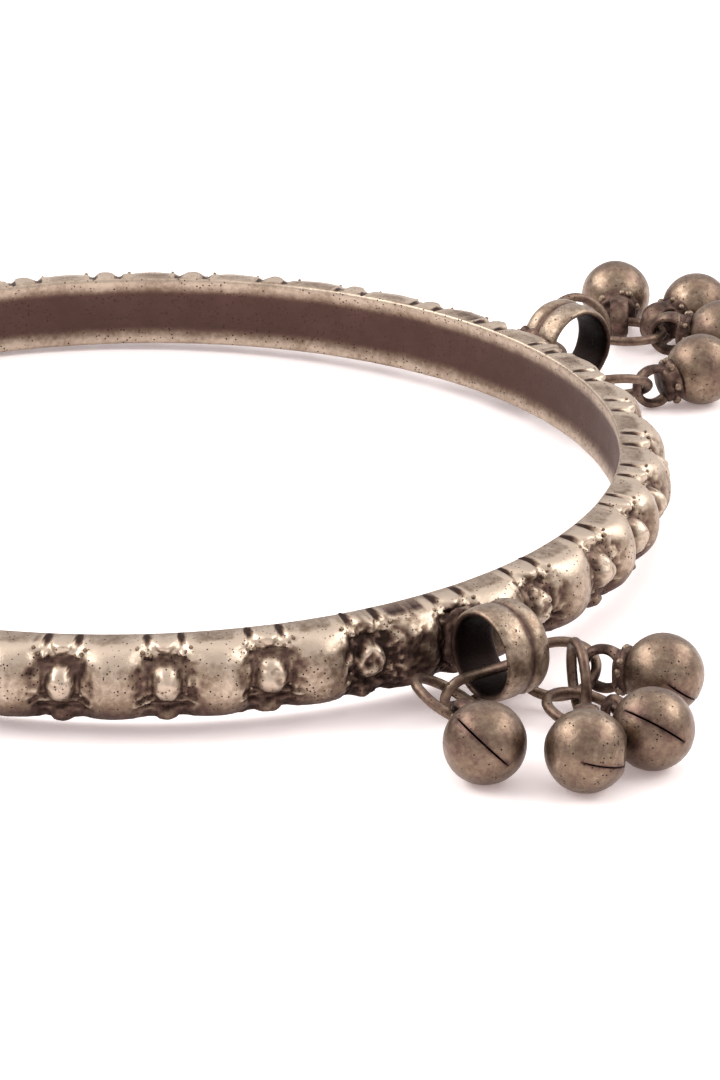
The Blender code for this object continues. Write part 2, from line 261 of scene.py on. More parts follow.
# %% Sizes of lobe and ornament, in millimetres
LOBE_ROUND = 2.45
LOBE_POWERS = (2.15, 0.52)
LOBE_RIM_SHARES = (0.36, 0.08)
GROOVE_POWERS = (2.4, 0.6)
GROOVE_SHARES = (0.32, 0.38)
GROOVE_SINK_SHARE = 0.14
LEAST_METAL = 0.25

# Each dome: its place up the band, half width, half height, level of its foot, rise above the foot.
EGG = (2.66, 1.06, 1.20, 1.95, 1.38)
WING = (2.72, 0.56, 1.05, 2.20, 0.52)
KNOB = (4.30, 0.24, 0.18, 1.75, 0.42)
HANGING_BEAD = (4.60, 0.78, 0.60, 1.10, 0.92)
NUB = (0.58, 0.95, 0.66, 1.20, 1.22)
WING_REACH = 1.52
KNOB_REACH = 1.08

PIT_REACH = 1.06
PIT_UP = 4.90
PIT_HALF_WIDTH = 0.25
PIT_HALF_HEIGHT = 0.23
PIT_DEPTH = 0.85
SLOT_UP = 3.98
SLOT_DEPTH = 0.24
RIDGE_UP = 1.62
RIDGE_RISE = 0.22
WAIST_UP = 1.22
WAIST_DEPTH = 0.30
STRAY = 0.10


def soft_max(first, second, blend):
    share = np.clip(0.5 + 0.5 * (second - first) / blend, 0.0, 1.0)
    return first * (1 - share) + second * share + blend * share * (1 - share)


def barrel(level, powers):
    """A rounded section: 1 at half height and 0 at the rims."""
    return np.maximum(1 - level ** powers[0], 0.0) ** powers[1]


def dome(lean, up, shape, shift=(0.0, 0.0), size=1.0, more_rise=0.0):
    """A half egg standing out of the band; far below the metal outside its rim."""
    middle_up, half_width, half_height, foot_level, rise = shape
    aside = (lean - shift[0]) / (half_width * size)
    above = (up - middle_up - shift[1]) / half_height
    inside = 1 - aside**2 - above**2
    raised_metal = foot_level + (rise + more_rise) * np.sqrt(np.maximum(inside, 0.0))
    return np.where(inside > 0, raised_metal, foot_level + 4 * inside)


def corner_pits(lean, up, spread):
    """1 in the middle of the two small dark pits beside a hanging bead, 0 away from them."""
    above = ((up - PIT_UP) / PIT_HALF_HEIGHT) ** 2
    left, right = (
        ((lean - side * (PIT_REACH + 0.06 * spread)) / PIT_HALF_WIDTH) ** 2 + above for side in (-1.0, 1.0)
    )
    return np.exp(-(np.minimum(left, right) ** 1.5))


# %% The relief itself
def relief(across, up, chance):
    """How far the metal stands out from the inner wall. across runs from the middle of an ornament, up from
    the lower edge, and chance holds a few random numbers for each motif."""
    uneven, _, off, slant, big, spread, skew, slot_off, pit_spread, nub_off, pit_more, wing_more = chance
    away = np.abs(across)
    thickness = BAND_THICKNESS / MM
    share = up * MM / BAND_HEIGHT
    level = np.abs(2 * share - 1.0)
    bulge = barrel(level, LOBE_POWERS)
    rim = LOBE_RIM_SHARES[0] + LOBE_RIM_SHARES[1] * ramp(share, 1 / 3, 8 / 9)
    lobe = thickness * (rim + (1 - rim - 0.02 * (1 + uneven)) * bulge)
    from_lobe = np.minimum(PITCH_MM / 2 - away, LOBE_ROUND - 0.35)
    lobe = lobe - (LOBE_ROUND - np.sqrt(LOBE_ROUND**2 - from_lobe**2)) * (0.25 + 0.75 * bulge)
    groove = thickness * (GROOVE_SHARES[0] + GROOVE_SHARES[1] * barrel(level, GROOVE_POWERS))
    groove = groove - GROOVE_SINK_SHARE * thickness * ramp(up, 3.9, 4.4)
    metal = soft_max(lobe, groove * ramp(away, 2.1, 1.65), 0.20)

    lean = across - STRAY * off - 0.05 * slant * (up - 2.4)
    size = 1 + 0.06 * big
    metal = soft_max(metal, dome(lean, up, EGG, size=size), 0.16)
    for side in (-1.0, 1.0):
        shift = (side * (WING_REACH + 0.10 * spread), 0.12 * side * skew)
        metal = soft_max(metal, dome(lean, up, WING, shift, more_rise=0.10 * wing_more), 0.12)
        metal = soft_max(metal, dome(lean, up, KNOB, (side * KNOB_REACH, 0.0)), 0.06)
    metal = metal - SLOT_DEPTH * stripe(up, SLOT_UP + 0.05 * slot_off, 0.19) * ramp(away, 1.35, 0.95)
    metal = soft_max(metal, dome(lean, up, HANGING_BEAD), 0.04)
    metal = metal - (PIT_DEPTH + 0.25 * pit_more) * corner_pits(lean, up, pit_spread)

    wave = RIDGE_UP + 0.09 * np.sin(3.2 * across + 6.0 * off) - 0.10 * away
    beside_egg = ramp(np.abs(lean), 0.55, 0.85)
    metal = metal + RIDGE_RISE * beside_egg * stripe(up, wave, 0.09) * ramp(away, 2.15, 1.90)
    metal = metal - 0.22 * beside_egg * stripe(up, wave + 0.22, 0.11) * (away < 1.9)
    metal = metal - 0.16 * beside_egg * stripe(up, wave - 0.24, 0.15) * (away < 1.7)
    metal = metal - WAIST_DEPTH * stripe(up, WAIST_UP, 0.16) * ramp(away, 1.5, 1.1)
    nub = dome(lean, up, NUB, (0.04 * nub_off, 0.0), size)
    return np.maximum(soft_max(metal, nub, 0.10), LEAST_METAL)


# %% Points of the band
OUTER_ROWS = 46
ROWS_DRAWN_TO_RIMS = 0.35
CHANCES_PER_MOTIF = 12
PITCH_SHARES = np.concatenate([np.linspace(-0.30, 0.30, 29), np.linspace(0.33, 0.67, 11)])

chances = np.random.default_rng(7)
chance_table = chances.uniform(-1.0, 1.0, (MOTIF_COUNT + 1, CHANCES_PER_MOTIF))
positions = (np.arange(MOTIF_COUNT)[:, None] + PITCH_SHARES).ravel()
angles = motif_angle(positions)
nearest = np.round(positions).astype(int)
across = (positions - nearest) * PITCH_MM
chance = [chance_table[nearest % MOTIF_COUNT, column][:, None] for column in range(CHANCES_PER_MOTIF)]
even_rows = np.linspace(0.0, 1.0, OUTER_ROWS)
drawn_rows = 0.5 - 0.5 * np.cos(math.pi * even_rows)
up = (drawn_rows * ROWS_DRAWN_TO_RIMS + even_rows * (1 - ROWS_DRAWN_TO_RIMS)) * BAND_HEIGHT / MM
stand_out = relief(across[:, None], up[None, :], chance)

# %% [markdown]
# The two places where a tube is soldered on were filed and filled, so the lobes beside them are flatter and
# rougher. The casting's own roughness comes on top: strong in the ornaments, faint on the lobes. The rims
# are rounded off last.

# %% Solder, casting roughness and rounded rims
TUBE_ANGLES_DEG = {"front": -52.0, "back": 39.0}
ROUGH_SPOTS = (
    # angle and half width in degrees, strength
    (-58.6, 3.6, 1.0), (-63.3, 2.2, 0.7), (-68.0, 3.0, 0.2), (-42.5, 3.0, 0.35),
    (31.0, 4.0, 0.7), (47.0, 4.0, 0.7),
)
FILED_TO_SHARE = 0.88
FILED_STRENGTH = 0.75
COARSE_GRAIN = 0.55
FINE_GRAIN = 0.26
LOWER_ROUNDING = 0.30
UPPER_ROUNDING = 0.16

flat = ring_points(INNER_RADIUS / MM + stand_out, angles[:, None], up)
in_ornament = ramp(np.abs(across), 2.25, 1.75)[:, None]
degrees = ((np.degrees(angles) + 180.0) % 360.0 - 180.0)[:, None]
filed = sum(strength * stripe(degrees, at, width) for at, width, strength in ROUGH_SPOTS)
filed = np.clip(filed, 0.0, 1.0)
flattened = np.minimum(stand_out, FILED_TO_SHARE * BAND_THICKNESS / MM)
stand_out = stand_out + (flattened - stand_out) * FILED_STRENGTH * filed
coarse = roughcast(flat, COARSE_GRAIN, 1)
fine = roughcast(flat, FINE_GRAIN, 2)
stand_out = stand_out + coarse * (0.015 + 0.105 * in_ornament + 0.07 * filed)
stand_out = stand_out + fine * (0.008 + 0.085 * in_ornament + 0.10 * filed)
for edge_distance, rounding in ((up, LOWER_ROUNDING), (up[-1] - up, UPPER_ROUNDING)):
    near = np.clip(rounding - edge_distance, 0.0, rounding)
    stand_out = stand_out - (rounding - np.sqrt(rounding**2 - near**2))[None, :]
stand_out = np.minimum(stand_out, BAND_THICKNESS / MM)

# %% [markdown]
# Wear is a number for each point: 1 where skin and cloth have polished the metal, 0 where dirt and tarnish
# stay. It compares each point with the average of its neighbours, so bumps are bright and hollows dark. It
# also carries painted light and shade: the top land is brightened, partly as painted light, and the lower
# part of the band is darkened, partly as painted shade.

# %% Wear of the outer side
def blurred(values, rounds):
    """Averages a grid with its neighbours a number of times; the rows close into a ring."""
    for _ in range(rounds):
        values = (2 * values + np.roll(values, 1, 0) + np.roll(values, -1, 0)) / 4
        padded = np.pad(values, ((0, 0), (1, 1)), mode="edge")
        values = (2 * values + padded[:, :-2] + padded[:, 2:]) / 4
    return values


MEAN_WEAR = 0.53
LEAST_AND_MOST_WEAR = (0.33, 1.25)
DARK_IN_PITS = 0.95
# how much the lower part of the band is darkened: partly tarnish, partly painted shade
SHADE_AND_TARNISH_UNDERNEATH = 0.70

bump = stand_out - blurred(stand_out, 14)
broad = stand_out - blurred(stand_out, 60)
near_top = ramp(up / up[-1], 0.72, 1.0)
# The top land is brightened: partly real polish of the top edge, partly painted light on the upward-facing
# land.
wear = np.clip(MEAN_WEAR + 1.9 * bump + 0.42 * broad + 1.50 * near_top**2, *LEAST_AND_MOST_WEAR)
wear = wear + filed * (0.45 * fine - 0.42) + in_ornament * (0.22 * fine + 0.08 * coarse)
wear = wear - DARK_IN_PITS * corner_pits(across[:, None] - STRAY * chance[2], up[None, :], chance[8])
# The lower part of the band is darkened: partly tarnish, partly painted shade under the bulge of the lobes.
wear = wear * (1 - SHADE_AND_TARNISH_UNDERNEATH * ramp(up / up[-1], 0.40, 0.06))

# %% The closed section: outer side, top, inner wall, bottom
CHANNEL_DEPTH_MM = 0.25
INNER_SECTION = (
    # share of the height, depth as a share of the channel's, wear
    (1.000, 0.48, 0.85), (0.988, 0.12, 1.00), (0.950, 0.00, 0.95), (0.900, 0.05, 0.90), (0.820, 0.30, 0.70),
    (0.740, 0.90, 0.22), (0.620, 1.00, 0.12), (0.500, 1.02, 0.10), (0.380, 1.00, 0.12), (0.260, 0.90, 0.20),
    (0.180, 0.35, 0.65), (0.100, 0.05, 0.88), (0.050, 0.00, 0.92), (0.012, 0.12, 0.90), (0.000, 0.48, 0.70),
)
INNER_NOISE_RADIUS_MM = 31.9
CROWN_MM = 0.10

section = np.array(INNER_SECTION)
inner_up = np.broadcast_to(section[:, 0] * up[-1], (len(angles), len(section)))
inner_points = ring_points(INNER_NOISE_RADIUS_MM, angles[:, None], inner_up)
inner_out = section[:, 1] * CHANNEL_DEPTH_MM + 0.02 * roughcast(inner_points, 1.1, 3)
distance = INNER_RADIUS / MM + np.concatenate([stand_out, inner_out], axis=1)
crown = CROWN_MM * near_top**2 * ramp(np.abs(across)[:, None], 1.3, 2.0)
heights = np.concatenate([up[None, :] - crown, inner_up], axis=1)
all_wear_and_shading = np.concatenate([wear, np.broadcast_to(section[:, 2], inner_up.shape)], axis=1)
inside = np.concatenate([np.zeros_like(wear), np.ones_like(inner_up)], axis=1)
band_points = ring_points(distance, angles[:, None], heights) * MM
faces = grid_faces(band_points.shape[0], band_points.shape[1], True, True)
band_mesh = mesh_from("bangle_relief", placed(band_points, BAND_FRAME), faces)
attach(band_mesh, "wear", all_wear_and_shading)
attach(band_mesh, "inside", inside)
print("band:", len(faces) * 2, "triangles")

# %% [markdown]
# ## A maker of materials
#
# Every metal here is one recipe with other numbers: a dark tarnish, a bright worn metal, and a mask between
# them. The mask mixes the wear of the mesh, with its painted light and shade, with noise. To keep such recipes
# short, a small class wraps a socket, so that sums and products can be written as in Python.

# %% Shader helpers
def feed(tree, socket, value):
    """Gives an input a link or a plain value."""
    value = getattr(value, "socket", value)
    if isinstance(value, bpy.types.NodeSocket):
        tree.links.new(value, socket)
    else:
        socket.default_value = value


def set_stops(ramp_of_colours, stops):
    elements = ramp_of_colours.elements
    while len(elements) < len(stops):
        elements.new(0.5)
    for element, (place, colour) in zip(elements, stops):
        element.position = place
        element.color = (*colour, 1.0)


def new_node(tree, kind, settings=None, inputs=None, output=0):
    """Adds a node with its settings and its inputs, and gives one of its outputs."""
    node = tree.nodes.new(kind)
    for key, value in (settings or {}).items():
        if key == "stops":
            set_stops(node.color_ramp, value)
        else:
            setattr(node, key, value)
    pairs = inputs.items() if isinstance(inputs, dict) else enumerate(inputs or [])
    for key, value in pairs:
        feed(tree, node.inputs[key], value)
    return node.outputs[output]


class Signal:
    """A value in a shader. Its operators add Math nodes."""

    def __init__(self, shader, socket):
        self.shader = shader
        self.socket = socket

    def combine(self, operation, *others):
        return self.shader.add("ShaderNodeMath", {"operation": operation}, [self, *others])

    def __add__(self, other):
        return self.combine("ADD", other)

    __radd__ = __add__

    def __sub__(self, other):
        return self.combine("SUBTRACT", other)

    def __rsub__(self, other):
        return self.shader.add("ShaderNodeMath", {"operation": "SUBTRACT"}, [other, self])

    def __mul__(self, other):
        return self.combine("MULTIPLY", other)

    __rmul__ = __mul__

    def limited(self):
        return self.combine("MAXIMUM", 0.0).combine("MINIMUM", 1.0)


class Shader:
    """A new material with a Principled shader, and one method that adds any other node."""

    def __init__(self, name):
        self.material = bpy.data.materials.new(name)
        self.material.use_nodes = True
        self.tree = self.material.node_tree
        self.surface = self.tree.nodes["Principled BSDF"]

    def add(self, kind, *values, **choice):
        return Signal(self, new_node(self.tree, kind, *values, **choice))

    def set(self, **values):
        for key, value in values.items():
            feed(self.tree, self.surface.inputs[key.replace("_", " ")], value)

    def noise(self, scale, detail, roughness):
        place = self.add("ShaderNodeTexCoord", output="Object")
        values = {"Vector": place, "Scale": scale, "Detail": detail, "Roughness": roughness}
        return self.add("ShaderNodeTexNoise", {}, values)

    def mix(self, share, first, second):
        return self.add("ShaderNodeMix", {"data_type": "RGBA"}, {0: share, 6: first, 7: second}, output=2)


# %% [markdown]
# ## Aged metal
#
# Real tarnish is brown and dull and sits in the hollows; the worn metal is a pale, warm grey and much
# smoother. Small pits from the casting show as dark dots. The recipe takes the mesh's own wear where there
# is one; on the band and the tubes that value also holds painted light and shade.

# %% The recipe for aged metal
TARNISH = (0.034, 0.021, 0.017)
BROWN = (0.108, 0.066, 0.054)
MIDDLE = (0.210, 0.152, 0.108)
WORN = (0.470, 0.382, 0.303)
COLOUR_STOPS = ((0.0, TARNISH), (0.32, BROWN), (0.62, MIDDLE), (1.0, WORN))
EVEN_WEAR = 0.6
BASE_ROUGHNESS = 0.60
WORN_GLOSS = 0.19
DOTS_PER_METRE = 4600.0
COARSE_BUMP = 0.04 * MM
FINE_BUMP = 0.03 * MM


def aged_metal(name, wear_shift, dullness, dot_share, inside_tint_and_shade=None, attribute=True, bump_size=COARSE_BUMP):
    """wear_shift brightens, dullness roughens, and dot_share sets how many dark pits there are."""
    shader = Shader(name)
    place = shader.add("ShaderNodeTexCoord", output="Object")
    cloud = shader.noise(420.0, 4.0, 0.62)
    speck = shader.noise(2600.0, 3.0, 0.7)
    fine = shader.noise(7000.0, 2.0, 0.6)
    if attribute:
        wear_and_shading_value = shader.add("ShaderNodeAttribute", {"attribute_name": "wear"}, output="Fac")
    else:
        wear_and_shading_value = EVEN_WEAR
    mask = (cloud - 0.5) * 0.75 + wear_and_shading_value + (speck - 0.5) * 0.70 + wear_shift
    cell_values = {"Vector": place, "Scale": DOTS_PER_METRE}
    cells = shader.add("ShaderNodeTexVoronoi", {"feature": "F1"}, cell_values)
    chosen = shader.add("ShaderNodeTexVoronoi", {"feature": "F1"}, cell_values, output="Color")
    picked = shader.add("ShaderNodeSeparateColor", {}, [chosen])
    crowded = (cloud - 0.5) * 1.2 + dot_share
    dot = ((0.30 - cells) * 8.0).limited() * ((crowded - picked) * 20.0).limited()
    mask = (mask - dot * 0.9).limited()
    colour = shader.add("ShaderNodeValToRGB", {"stops": COLOUR_STOPS}, [mask])
    # Mixes a tint into inner faces: into the band's inner wall, and into the tubes' bores, where it is painted
    # shade.
    if inside_tint_and_shade:
        inside_value = shader.add("ShaderNodeAttribute", {"attribute_name": "inside"}, output="Fac")
        tint = inside_value * (1.0 - wear_and_shading_value)
        colour = shader.mix(tint.limited(), colour, (*inside_tint_and_shade, 1.0))
    rough = (BASE_ROUGHNESS + dullness) - mask * WORN_GLOSS
    rough = rough + (speck - 0.5) * 0.22
    relief_height = cloud * 0.25 + speck * 0.65 + fine * 0.50 - dot * 1.6
    bump = shader.add("ShaderNodeBump", {}, {"Strength": 0.90, "Distance": bump_size, "Height": relief_height})
    shader.set(Base_Color=colour, Metallic=1.0, Roughness=rough.limited(), Normal=bump)
    return shader.material


INNER_WALL_TINT = (0.085, 0.048, 0.040)
# The bore tint is painted shade: it colours the inside of each tube nearly black.
BORE_PAINTED_SHADE = (0.008, 0.005, 0.0045)
band_material = aged_metal("aged_band", 0.00, 0.0, 0.28, INNER_WALL_TINT)
print("materials:", band_material.name)

# %% Put the band in the scene
def closed(mesh):
    """Merges points that lie on one another, as at a pole, turns every face outwards and shades smooth."""
    work = bmesh.new()
    work.from_mesh(mesh)
    bmesh.ops.remove_doubles(work, verts=work.verts, dist=1e-7)
    bmesh.ops.dissolve_degenerate(work, edges=work.edges, dist=1e-8)
    bmesh.ops.recalc_face_normals(work, faces=work.faces)
    work.to_mesh(mesh)
    work.free()
    mesh.shade_smooth()


def piece(name, mesh, material, slot, *nodes):
    """Adds a finished piece that rides on the object's one body and may stand for measured nodes."""
    closed(mesh)
    mesh.materials.clear()
    mesh.materials.append(material)
    item = added(name, mesh)
    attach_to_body(item, "root")
    if nodes:
        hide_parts(*nodes)


piece("bangle_band", band_mesh, band_material, "band_metal", "bangle")

# %% [markdown]
# ## The two tubes
#
# Each cluster hangs from a short tube of sheet metal, soldered with its axis along the band. It has two
# rounded bands with a groove between, and a rim beaten out of round. A profile is turned about the axis and
# then made a little uneven.

# %% Tubes
TUBE_RADIUS = 2.95 * MM
TUBE_WALL = 0.57 * MM
TUBE_LENGTH = 3.2 * MM
TUBE_SUNK = 0.45 * MM
TUBE_CENTRE_HEIGHT = 2.9 * MM
TUBE_REACH = INNER_RADIUS + BAND_THICKNESS + TUBE_RADIUS - TUBE_SUNK
TUBE_PROFILE = (
    # radius as it stands off the full radius, in millimetres, and place along the axis as a share
    (-0.57, 0.00), (-0.57, 0.40), (-0.55, 0.72), (-0.50, 0.90), (-0.41, 0.975), (-0.31, 1.00), (-0.22, 0.985),
    (-0.14, 0.93), (-0.06, 0.82), (-0.01, 0.66), (0.00, 0.46), (-0.01, 0.28), (-0.04, 0.17), (-0.09, 0.10),
    (-0.13, 0.05), (-0.14, 0.00),
)
GROOVE_SHIFT = 0.32
TUBE_STEPS = 96


def beside_band(cluster, reach, height):
    """The frame of a place on the band at a cluster's angle."""
    angle = math.radians(TUBE_ANGLES_DEG[cluster])
    return BAND_FRAME @ Matrix.Rotation(angle, 4, "Z") @ Matrix.Translation((reach, 0.0, height))


def tube_mesh(cluster, seed):
    """The turned profile, pushed a little out of round. Wear is low in the groove; the bore is painted shade.
    """
    half = TUBE_LENGTH / 2 / MM
    one_side = [(TUBE_RADIUS / MM + off, along * half) for off, along in TUBE_PROFILE]
    other_side = [(radius, -along) for radius, along in reversed(one_side[1:-1])]
    profile = np.array(one_side + other_side)
    profile[:, 1] += GROOVE_SHIFT * stripe(profile[:, 1], 0.0, 0.75)
    turn = round_steps(TUBE_STEPS)[:, None]
    even = ring_points(profile[:, 0], turn, profile[:, 1])
    radius = profile[:, 0] + 0.035 * roughcast(even, 1.6, seed) + 0.02 * roughcast(even, 0.45, seed + 1)
    along = profile[:, 1] + 0.05 * roughcast(even, 1.9, seed + 2) * np.abs(profile[:, 1]) / half
    points = ring_points(radius, turn, along) * MM
    inner_edge = (TUBE_RADIUS - TUBE_WALL) / MM
    outer = ramp(profile[:, 0], inner_edge, inner_edge + 0.45)
    groove = stripe(profile[:, 1], GROOVE_SHIFT, 0.16) * outer
    # Inside the bore the value is near 0: painted shade, together with the bore tint.
    wear_and_shading_values = np.broadcast_to(0.02 + 0.66 * outer - 0.45 * groove, radius.shape)
    faces = grid_faces(*radius.shape, True, True)
    frame_of_tube = beside_band(cluster, TUBE_REACH, TUBE_CENTRE_HEIGHT)
    frame_of_tube = frame_of_tube @ Matrix.Rotation(math.radians(-90.0), 4, "X")
    mesh = mesh_from("tube_" + cluster, placed(points, frame_of_tube), faces)
    attach(mesh, "wear", wear_and_shading_values)
    attach(mesh, "inside", np.broadcast_to(1 - outer, radius.shape))
    return mesh


SOLDER_HALF_SIZE_MM = (0.72, 1.85, 2.05)
SOLDER_SUNK = 0.70 * MM
SOLDER_HEIGHT_SHARE = 0.54


def solder_mesh(cluster, seed):
    """A rough lump between a tube and the band."""
    points = ball_points(48, 26) * SOLDER_HALF_SIZE_MM
    lumps = 0.10 * roughcast(points, 0.8, seed) + 0.07 * roughcast(points, 0.3, seed)
    points = points * (1 + lumps)[..., None]
    reach = INNER_RADIUS + BAND_THICKNESS - SOLDER_SUNK
    place = beside_band(cluster, reach, SOLDER_HEIGHT_SHARE * BAND_HEIGHT)
    mesh = mesh_from("solder_" + cluster, placed(points * MM, place), grid_faces(*lumps.shape, True, False))
    attach(mesh, "wear", 0.35 + 0.4 * roughcast(points, 0.35, seed + 5))
    return mesh


tube_material = aged_metal("aged_tube", 0.04, -0.08, 0.20, BORE_PAINTED_SHADE)
solder_material = aged_metal("aged_solder", -0.05, 0.05, 0.30)
for number, cluster in enumerate(TUBE_ANGLES_DEG):
    piece("tube_" + cluster, tube_mesh(cluster, 20 + number * 5), tube_material, "band_metal")
    piece("solder_" + cluster, solder_mesh(cluster, 40 + number * 5), solder_material, "band_metal")

# %% [markdown]
# ## Wire rings and links
#
# Links and jump rings are bent from wire of 0.6 mm, hammered a little flat in places. A ring repeats, so
# Geometry Nodes make it: a circle, pushed about by noise, swept by a smaller circle. The tree's inputs are
# the ring's radius and the wire's.

# %% A tree that makes a wire ring
WIRE_RADIUS = 0.30 * MM
SWOLLEN_WIRE = 1.08 * WIRE_RADIUS
RING_STEPS = 56
WIRE_STEPS = 14
BEND_SCALE = 260.0
BEND = 0.16 * MM


class Nodes:
    """Builds a Geometry Nodes tree with named inputs."""

    def __init__(self, name, inputs):
        self.tree = bpy.data.node_groups.new(name, "GeometryNodeTree")
        self.tree.interface.new_socket("Geometry", in_out="INPUT", socket_type="NodeSocketGeometry")
        for label, (kind, value) in inputs.items():
            socket = self.tree.interface.new_socket(label, in_out="INPUT", socket_type=kind)
            if value is not None:
                socket.default_value = value
        self.tree.interface.new_socket("Geometry", in_out="OUTPUT", socket_type="NodeSocketGeometry")
        self.entry = self.tree.nodes.new("NodeGroupInput")
        self.exit = self.tree.nodes.new("NodeGroupOutput")

    def add(self, kind, *values, **choice):
        return new_node(self.tree, kind, *values, **choice)

    def given(self, label):
        return self.entry.outputs[label]

    def end(self, geometry):
        whole = self.add("GeometryNodeRealizeInstances", {}, {"Geometry": geometry})
        paint = {"Geometry": whole, "Material": self.given("Material")}
        dressed = self.add("GeometryNodeSetMaterial", {}, paint)
        self.tree.links.new(dressed, self.exit.inputs[0])
        return self.tree


def wire_ring_tree():
    tree = Nodes("wire ring", {
        "Radius": ("NodeSocketFloat", 2.0 * MM),
        "Wire": ("NodeSocketFloat", WIRE_RADIUS),
        "Seed": ("NodeSocketFloat", 0.0),
        "Material": ("NodeSocketMaterial", None),
    })

    def circle_of(steps, radius_label):
        values = {"Resolution": steps, "Radius": tree.given(radius_label)}
        return tree.add("GeometryNodeCurvePrimitiveCircle", {}, values)

    where = tree.add("GeometryNodeInputPosition")
    noise = tree.add(
        "ShaderNodeTexNoise", {"noise_dimensions": "4D"},
        {"Vector": where, "W": tree.given("Seed"), "Scale": BEND_SCALE, "Detail": 1.0}, output="Color",
    )
    centred = tree.add("ShaderNodeVectorMath", {"operation": "SUBTRACT"}, {0: noise, 1: (0.5, 0.5, 0.5)})
    push = tree.add("ShaderNodeVectorMath", {"operation": "SCALE"}, {0: centred, "Scale": BEND})
    circle = circle_of(RING_STEPS, "Radius")
    bent = tree.add("GeometryNodeSetPosition", {}, {"Geometry": circle, "Offset": push})
    profile = circle_of(WIRE_STEPS, "Wire")
    swept = tree.add("GeometryNodeCurveToMesh", {}, {"Curve": bent, "Profile Curve": profile})
    return tree.end(swept)


def baked(item):
    """A plain mesh of what an object's modifiers make; the object itself goes."""
    bpy.context.view_layer.update()
    depsgraph = bpy.context.evaluated_depsgraph_get()
    mesh = bpy.data.meshes.new_from_object(item.evaluated_get(depsgraph), depsgraph=depsgraph)
    bpy.data.objects.remove(item, do_unlink=True)
    return mesh


def grown(tree, base_mesh, values):
    """Runs a tree on a mesh with its named inputs set, and gives the plain mesh that comes out."""
    item = added("helper", base_mesh)
    modifier = item.modifiers.new("tree", "NODES")
    modifier.node_group = tree
    for socket in tree.interface.items_tree:
        if socket.in_out == "INPUT" and socket.name in values:
            modifier[socket.identifier] = values[socket.name]
    return baked(item)


# %% [markdown]
# ## How the clusters lie
#
# Each cluster has its own frame: outwards from the band, along it, and up from the table, under the middle
# of its tube. The rings and bells are placed in it as the measured model has them, so each ring runs
# through its neighbours without touching.

# %% Places of the rings and bells
RINGS = (
    # cluster, name, radius, place of the middle, direction of the axis
    ("front", "bell", 2.5, (0.74, -4.25, 2.02), (62.5, 59.7)),
    ("front", "upper", 2.3, (0.48, 4.24, 1.93), (-54.2, 67.8)),
    ("front", "middle", 2.2, (3.32, 3.45, 2.53), (61.4, 3.0)),
    ("front", "lower", 2.3, (6.27, 1.37, 2.05), (46.3, 77.8)),
    ("back", "bell", 2.5, (0.77, -4.14, 1.83), (58.0, 55.7)),
    ("back", "upper", 2.5, (0.48, 4.55, 1.96), (-59.8, 86.6)),
    ("back", "middle", 2.5, (4.48, 3.96, 2.68), (75.4, -19.9)),
    ("back", "lower", 2.6, (8.59, 3.17, 2.12), (51.2, 86.0)),
)
BELLS = (
    # cluster, number, place of the ball, directions of the loop and of the slit's middle, turn of the slit
    ("front", 1, (6.97, -6.85, 2.48), (158.3, -7.8), (-44.7, 25.1), 140.9),
    ("front", 2, (11.33, -2.80, 2.48), (140.0, -5.6), (3.8, -4.2), 165.2),
    ("front", 3, (11.27, 2.36, 2.48), (173.6, -13.9), (-38.6, 30.1), 153.1),
    ("front", 4, (5.70, 8.09, 2.48), (-147.6, -4.2), (8.1, -21.5), 148.8),
    ("back", 1, (7.04, -6.38, 2.48), (162.9, -12.6), (-45.2, 6.9), 20.0),
    ("back", 2, (15.45, 3.23, 2.48), (-177.4, -6.1), (-24.0, 0.0), 70.0),
    ("back", 3, (12.54, 8.72, 2.48), (-128.9, -7.1), (51.6, 2.0), 35.0),
    ("back", 4, (12.98, -2.12, 2.48), (127.8, -4.1), (-74.5, -2.0), 50.0),
)


UPRIGHT = Vector((0.0, 0.0, 1.0))


def direction(azimuth_deg, elevation_deg):
    azimuth = math.radians(azimuth_deg)
    elevation = math.radians(elevation_deg)
    level = math.cos(elevation)
    return Vector((level * math.cos(azimuth), level * math.sin(azimuth), math.sin(elevation)))


def axes_matrix(place, up_axis, side):
    """A frame at a place with its Z along one direction and its Y as near to another as that allows."""
    z = up_axis.normalized()
    y = (side - side.dot(z) * z).normalized()
    x = y.cross(z)
    return Matrix.Translation(place) @ Matrix((x, y, z)).transposed().to_4x4()


def tube_centre(cluster):
    return beside_band(cluster, TUBE_REACH, TUBE_CENTRE_HEIGHT).translation


def cluster_frame(cluster):
    """Outwards, along the band and up, on the table under the middle of a tube."""
    centre = tube_centre(cluster)
    angle = math.radians(TUBE_ANGLES_DEG[cluster])
    return Matrix.Translation((centre.x, centre.y, TABLE_HEIGHT)) @ Matrix.Rotation(angle, 4, "Z")


# %% Rings
ring_tree = wire_ring_tree()
wire_material = aged_metal("aged_wire", -0.14, -0.04, 0.12, attribute=False, bump_size=FINE_BUMP)
for number, (cluster, name, radius, place, axis) in enumerate(RINGS):
    base = bpy.data.meshes.new("start")
    sizes = {"Radius": radius * MM, "Wire": SWOLLEN_WIRE}
    ring_mesh = grown(ring_tree, base, {**sizes, "Seed": float(number), "Material": wire_material})
    lying = axes_matrix(Vector(place) * MM, direction(*axis), UPRIGHT)
    ring_mesh.transform(cluster_frame(cluster) @ lying)
    node = f"ring_{cluster}_{name}"
    piece("wire_" + node, ring_mesh, wire_material, "ring_metal", node)

# %% [markdown]
# The long link runs once through the tube and once under it, with a round bend at each end. It is swept
# along its own centre line with the same round wire.

# %% Long links
LINK_TURN_DEG = 20.0
LINK_END = 3.4 * MM
LINK_END_RADIUS = 1.1 * MM
LINK_STEPS = 14


